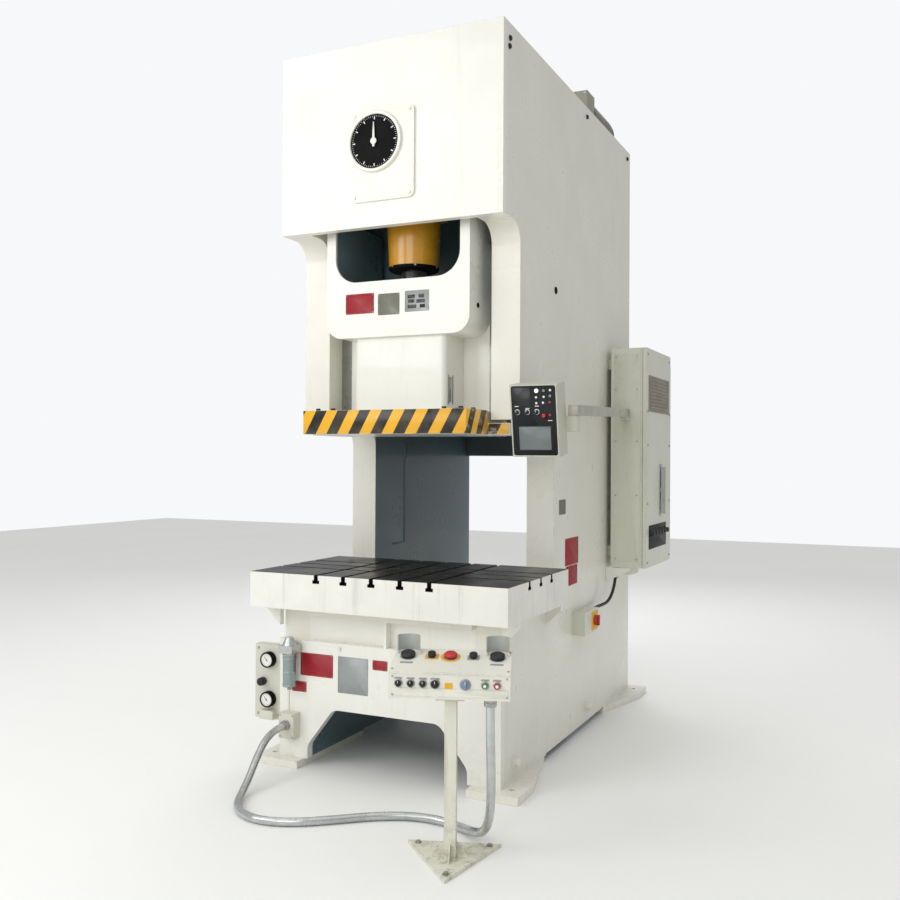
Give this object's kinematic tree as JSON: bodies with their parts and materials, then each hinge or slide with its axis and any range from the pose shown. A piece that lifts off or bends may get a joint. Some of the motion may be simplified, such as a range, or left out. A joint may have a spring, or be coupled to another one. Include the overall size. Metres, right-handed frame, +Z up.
{
  "type": "mechanical stamping press",
  "caption": "Free-standing gap-frame stamping press: crank-driven slide over a T-slotted bolster, angle dial, pendant, control cabinet and two-hand console on its own post.",
  "frame": {"origin": "on the floor under the ram axis, in the middle of the machine's width", "axes": "+Z up along the ram, +Y from the operator's side to the rear, +X to the operator's right"},
  "size_m": [1.6694, 3.1898, 3.7319],
  "materials": {
    "cream_paint": "satin",
    "machined_steel": "dark machined",
    "shaft_steel": "ground",
    "gear_iron": "as cast",
    "ochre_paint": "gloss",
    "grey_paint": "satin",
    "beige_paint": "satin",
    "black_plastic": "moulded",
    "red_plastic": "moulded",
    "green_plastic": "moulded",
    "belt_rubber": "matt",
    "conduit_metal": "corrugated",
    "bare_aluminium": "satin",
    "white_paint": "gloss"
  },
  "bodies": {
    "frame": {"air_oiler": "grey_paint", "air_panel": "beige_paint", "bed_front_plate": "cream_paint", "bed_rear_plate": "cream_paint", "bed_table_plate": "cream_paint", "belt_guard": "grey_paint", "bolster": "machined_steel", "bolster_brackets": "cream_paint", "console_conduit": "conduit_metal", "console_housing": "cream_paint", "console_stand": "beige_paint", "control_cabinet": "beige_paint", "crown_front_plate": "cream_paint", "crown_top_plate": "cream_paint", "dial_cover_plate": "cream_paint", "disconnect_box": "beige_paint", "drive_belt": "belt_rubber", "drive_floor": "cream_paint", "foot_plates": "cream_paint", "guide_wall": "cream_paint", "junction_box": "beige_paint", "motor": "grey_paint", "rear_cover_plate": "cream_paint", "rear_tie_plate": "cream_paint", "side_frame_left": "cream_paint", "side_frame_right": "cream_paint", "slide_gibs": "shaft_steel", "supply_cable": "belt_rubber"},
    "slide": {"slide_casting": "cream_paint"},
    "knockout": {"knockout_bar": "shaft_steel"},
    "rod": {"connecting_rod": "ochre_paint", "adjusting_screw": "shaft_steel"},
    "crank": {"crankshaft": "shaft_steel", "main_gear": "gear_iron"},
    "pinion": {"pinion_shaft": "shaft_steel"},
    "flywheel": {"flywheel": "gear_iron"},
    "pulley": {"motor_pulley": "gear_iron"},
    "pointer": {"dial_pointer": "white_paint"},
    "door": {"cabinet_door": "beige_paint"},
    "door_handle": {"cabinet_handle": "bare_aluminium"},
    "arm": {"pendant_arm": "bare_aluminium"},
    "pendant": {"pendant_housing": "beige_paint"},
    "disconnect_knob": {"disconnect_handle": "red_plastic"},
    "regulator": {"regulator_knob": "black_plastic"},
    "palm_button_left": {"palm_button_left": "black_plastic"},
    "palm_button_right": {"palm_button_right": "black_plastic"},
    "stop_button": {"stop_button": "red_plastic"},
    "inch_button_left": {"inch_button_left": "black_plastic"},
    "inch_button_right": {"inch_button_right": "black_plastic"},
    "run_button": {"run_button": "green_plastic"},
    "halt_button": {"halt_button": "red_plastic"},
    "console_knob_1": {"console_knob_1": "black_plastic"},
    "console_knob_2": {"console_knob_2": "black_plastic"},
    "console_knob_3": {"console_knob_3": "black_plastic"},
    "console_knob_4": {"console_knob_4": "black_plastic"},
    "mode_selector": {"mode_selector": "grey_paint"},
    "pendant_selector_left": {"pendant_selector_left": "black_plastic"},
    "pendant_selector_mid": {"pendant_selector_mid": "black_plastic"},
    "pendant_selector_right": {"pendant_selector_right": "black_plastic"},
    "pendant_stop": {"pendant_stop": "red_plastic"}
  },
  "joints": [
    {"name": "slide_stroke", "type": "slide", "parent": "frame", "child": "slide", "axis": [0, 0, 1], "range_m": [-0.2, 0]},
    {"name": "knockout_lift", "type": "slide", "parent": "slide", "child": "knockout", "axis": [0, 0, 1], "range_m": [0, 0.06]},
    {"name": "rod_swing", "type": "hinge", "parent": "slide", "child": "rod", "pos_m": [0, 0, 2.25], "axis": [0, 1, 0], "range_deg": [0, 6.7]},
    {"name": "crank_turn", "type": "hinge", "parent": "frame", "child": "crank", "pos_m": [0, 0, 3], "axis": [0, 1, 0], "range_deg": [0, 180]},
    {"name": "pinion_turn", "type": "hinge", "parent": "frame", "child": "pinion", "pos_m": [0.2192, 0.9, 2.7808], "axis": [0, 1, 0], "range_deg": [-936, 0]},
    {"name": "pointer_turn", "type": "hinge", "parent": "frame", "child": "pointer", "pos_m": [-0.058, -0.3, 3.019], "axis": [0, 1, 0], "range_deg": [-180, 0]},
    {"name": "flywheel_spin", "type": "hinge", "parent": "frame", "child": "flywheel", "pos_m": [0.2192, 1.32, 2.7808], "axis": [0, 1, 0], "continuous": true},
    {"name": "pulley_spin", "type": "hinge", "parent": "frame", "child": "pulley", "pos_m": [0.395, 1.32, 3.62], "axis": [0, 1, 0], "continuous": true},
    {"name": "door_swing", "type": "hinge", "parent": "frame", "child": "door", "pos_m": [0.829, 2.014, 1.5], "axis": [0, 0, 1], "range_deg": [0, 110]},
    {"name": "door_handle_turn", "type": "hinge", "parent": "door", "child": "door_handle", "pos_m": [0.84, 1.726, 1.322], "axis": [1, 0, 0], "range_deg": [0, 90]},
    {"name": "arm_swing", "type": "hinge", "parent": "frame", "child": "arm", "pos_m": [0.715, 1.33, 1.786], "axis": [0, 0, 1], "range_deg": [0, 75]},
    {"name": "pendant_swivel", "type": "hinge", "parent": "arm", "child": "pendant", "pos_m": [0.85798, -0.05363, 1.68], "axis": [0, 0, 1], "range_deg": [0, 60]},
    {"name": "disconnect_turn", "type": "hinge", "parent": "frame", "child": "disconnect_knob", "pos_m": [0.68, 0.908, 0.6235], "axis": [1, 0, 0], "range_deg": [-90, 0]},
    {"name": "regulator_turn", "type": "hinge", "parent": "frame", "child": "regulator", "pos_m": [-0.704, -0.28, 0.388], "axis": [0, 1, 0], "continuous": true},
    {"name": "palm_button_left_press", "type": "slide", "parent": "frame", "child": "palm_button_left", "axis": [0.0891, -0.2576, 0.9621], "range_m": [-0.004, 0], "stiffness_N_per_m": 900},
    {"name": "palm_button_right_press", "type": "slide", "parent": "frame", "child": "palm_button_right", "axis": [0.0891, -0.2576, 0.9621], "range_m": [-0.004, 0], "stiffness_N_per_m": 900},
    {"name": "stop_button_press", "type": "slide", "parent": "frame", "child": "stop_button", "axis": [0.0891, -0.2576, 0.9621], "range_m": [-0.004, 0], "stiffness_N_per_m": 900},
    {"name": "inch_button_left_press", "type": "slide", "parent": "frame", "child": "inch_button_left", "axis": [0.0891, -0.2576, 0.9621], "range_m": [-0.004, 0], "stiffness_N_per_m": 900},
    {"name": "inch_button_right_press", "type": "slide", "parent": "frame", "child": "inch_button_right", "axis": [0.0891, -0.2576, 0.9621], "range_m": [-0.004, 0], "stiffness_N_per_m": 900},
    {"name": "run_button_press", "type": "slide", "parent": "frame", "child": "run_button", "axis": [0.3269, -0.9451, 0], "range_m": [-0.004, 0], "stiffness_N_per_m": 900},
    {"name": "halt_button_press", "type": "slide", "parent": "frame", "child": "halt_button", "axis": [0.3269, -0.9451, 0], "range_m": [-0.004, 0], "stiffness_N_per_m": 900},
    {"name": "console_knob_1_turn", "type": "hinge", "parent": "frame", "child": "console_knob_1", "pos_m": [0.51738, -1.10359, 0.68], "axis": [0.3269, -0.9451, 0], "range_deg": [-45, 45]},
    {"name": "console_knob_2_turn", "type": "hinge", "parent": "frame", "child": "console_knob_2", "pos_m": [0.56085, -1.08855, 0.68], "axis": [0.3269, -0.9451, 0], "range_deg": [-45, 45]},
    {"name": "console_knob_3_turn", "type": "hinge", "parent": "frame", "child": "console_knob_3", "pos_m": [0.60432, -1.07352, 0.68], "axis": [0.3269, -0.9451, 0], "range_deg": [-45, 45]},
    {"name": "console_knob_4_turn", "type": "hinge", "parent": "frame", "child": "console_knob_4", "pos_m": [0.64779, -1.05848, 0.68], "axis": [0.3269, -0.9451, 0], "range_deg": [-45, 45]},
    {"name": "mode_selector_turn", "type": "hinge", "parent": "frame", "child": "mode_selector", "pos_m": [0.75459, -1.02154, 0.68], "axis": [0.3269, -0.9451, 0], "range_deg": [-60, 60]},
    {"name": "pendant_selector_left_turn", "type": "hinge", "parent": "pendant", "child": "pendant_selector_left", "pos_m": [0.632, -0.19126, 1.72751], "axis": [0, -0.9877, -0.1564], "range_deg": [-45, 45]},
    {"name": "pendant_selector_mid_turn", "type": "hinge", "parent": "pendant", "child": "pendant_selector_mid", "pos_m": [0.68, -0.19126, 1.72751], "axis": [0, -0.9877, -0.1564], "range_deg": [-45, 45]},
    {"name": "pendant_selector_right_turn", "type": "hinge", "parent": "pendant", "child": "pendant_selector_right", "pos_m": [0.726, -0.19126, 1.72751], "axis": [0, -0.9877, -0.1564], "range_deg": [-45, 45]},
    {"name": "pendant_stop_press", "type": "slide", "parent": "pendant", "child": "pendant_stop", "axis": [0, -0.9877, -0.1564], "range_m": [-0.004, 0], "stiffness_N_per_m": 900}
  ],
  "couplings": [
    {"joint": "crank_turn", "follows": "slide_stroke", "rad_per_m": -15.708},
    {"joint": "pinion_turn", "follows": "slide_stroke", "rad_per_m": 81.681},
    {"joint": "pointer_turn", "follows": "slide_stroke", "rad_per_m": 15.708},
    {"joint": "pulley_spin", "follows": "flywheel_spin", "ratio": 4.2857}
  ]
}
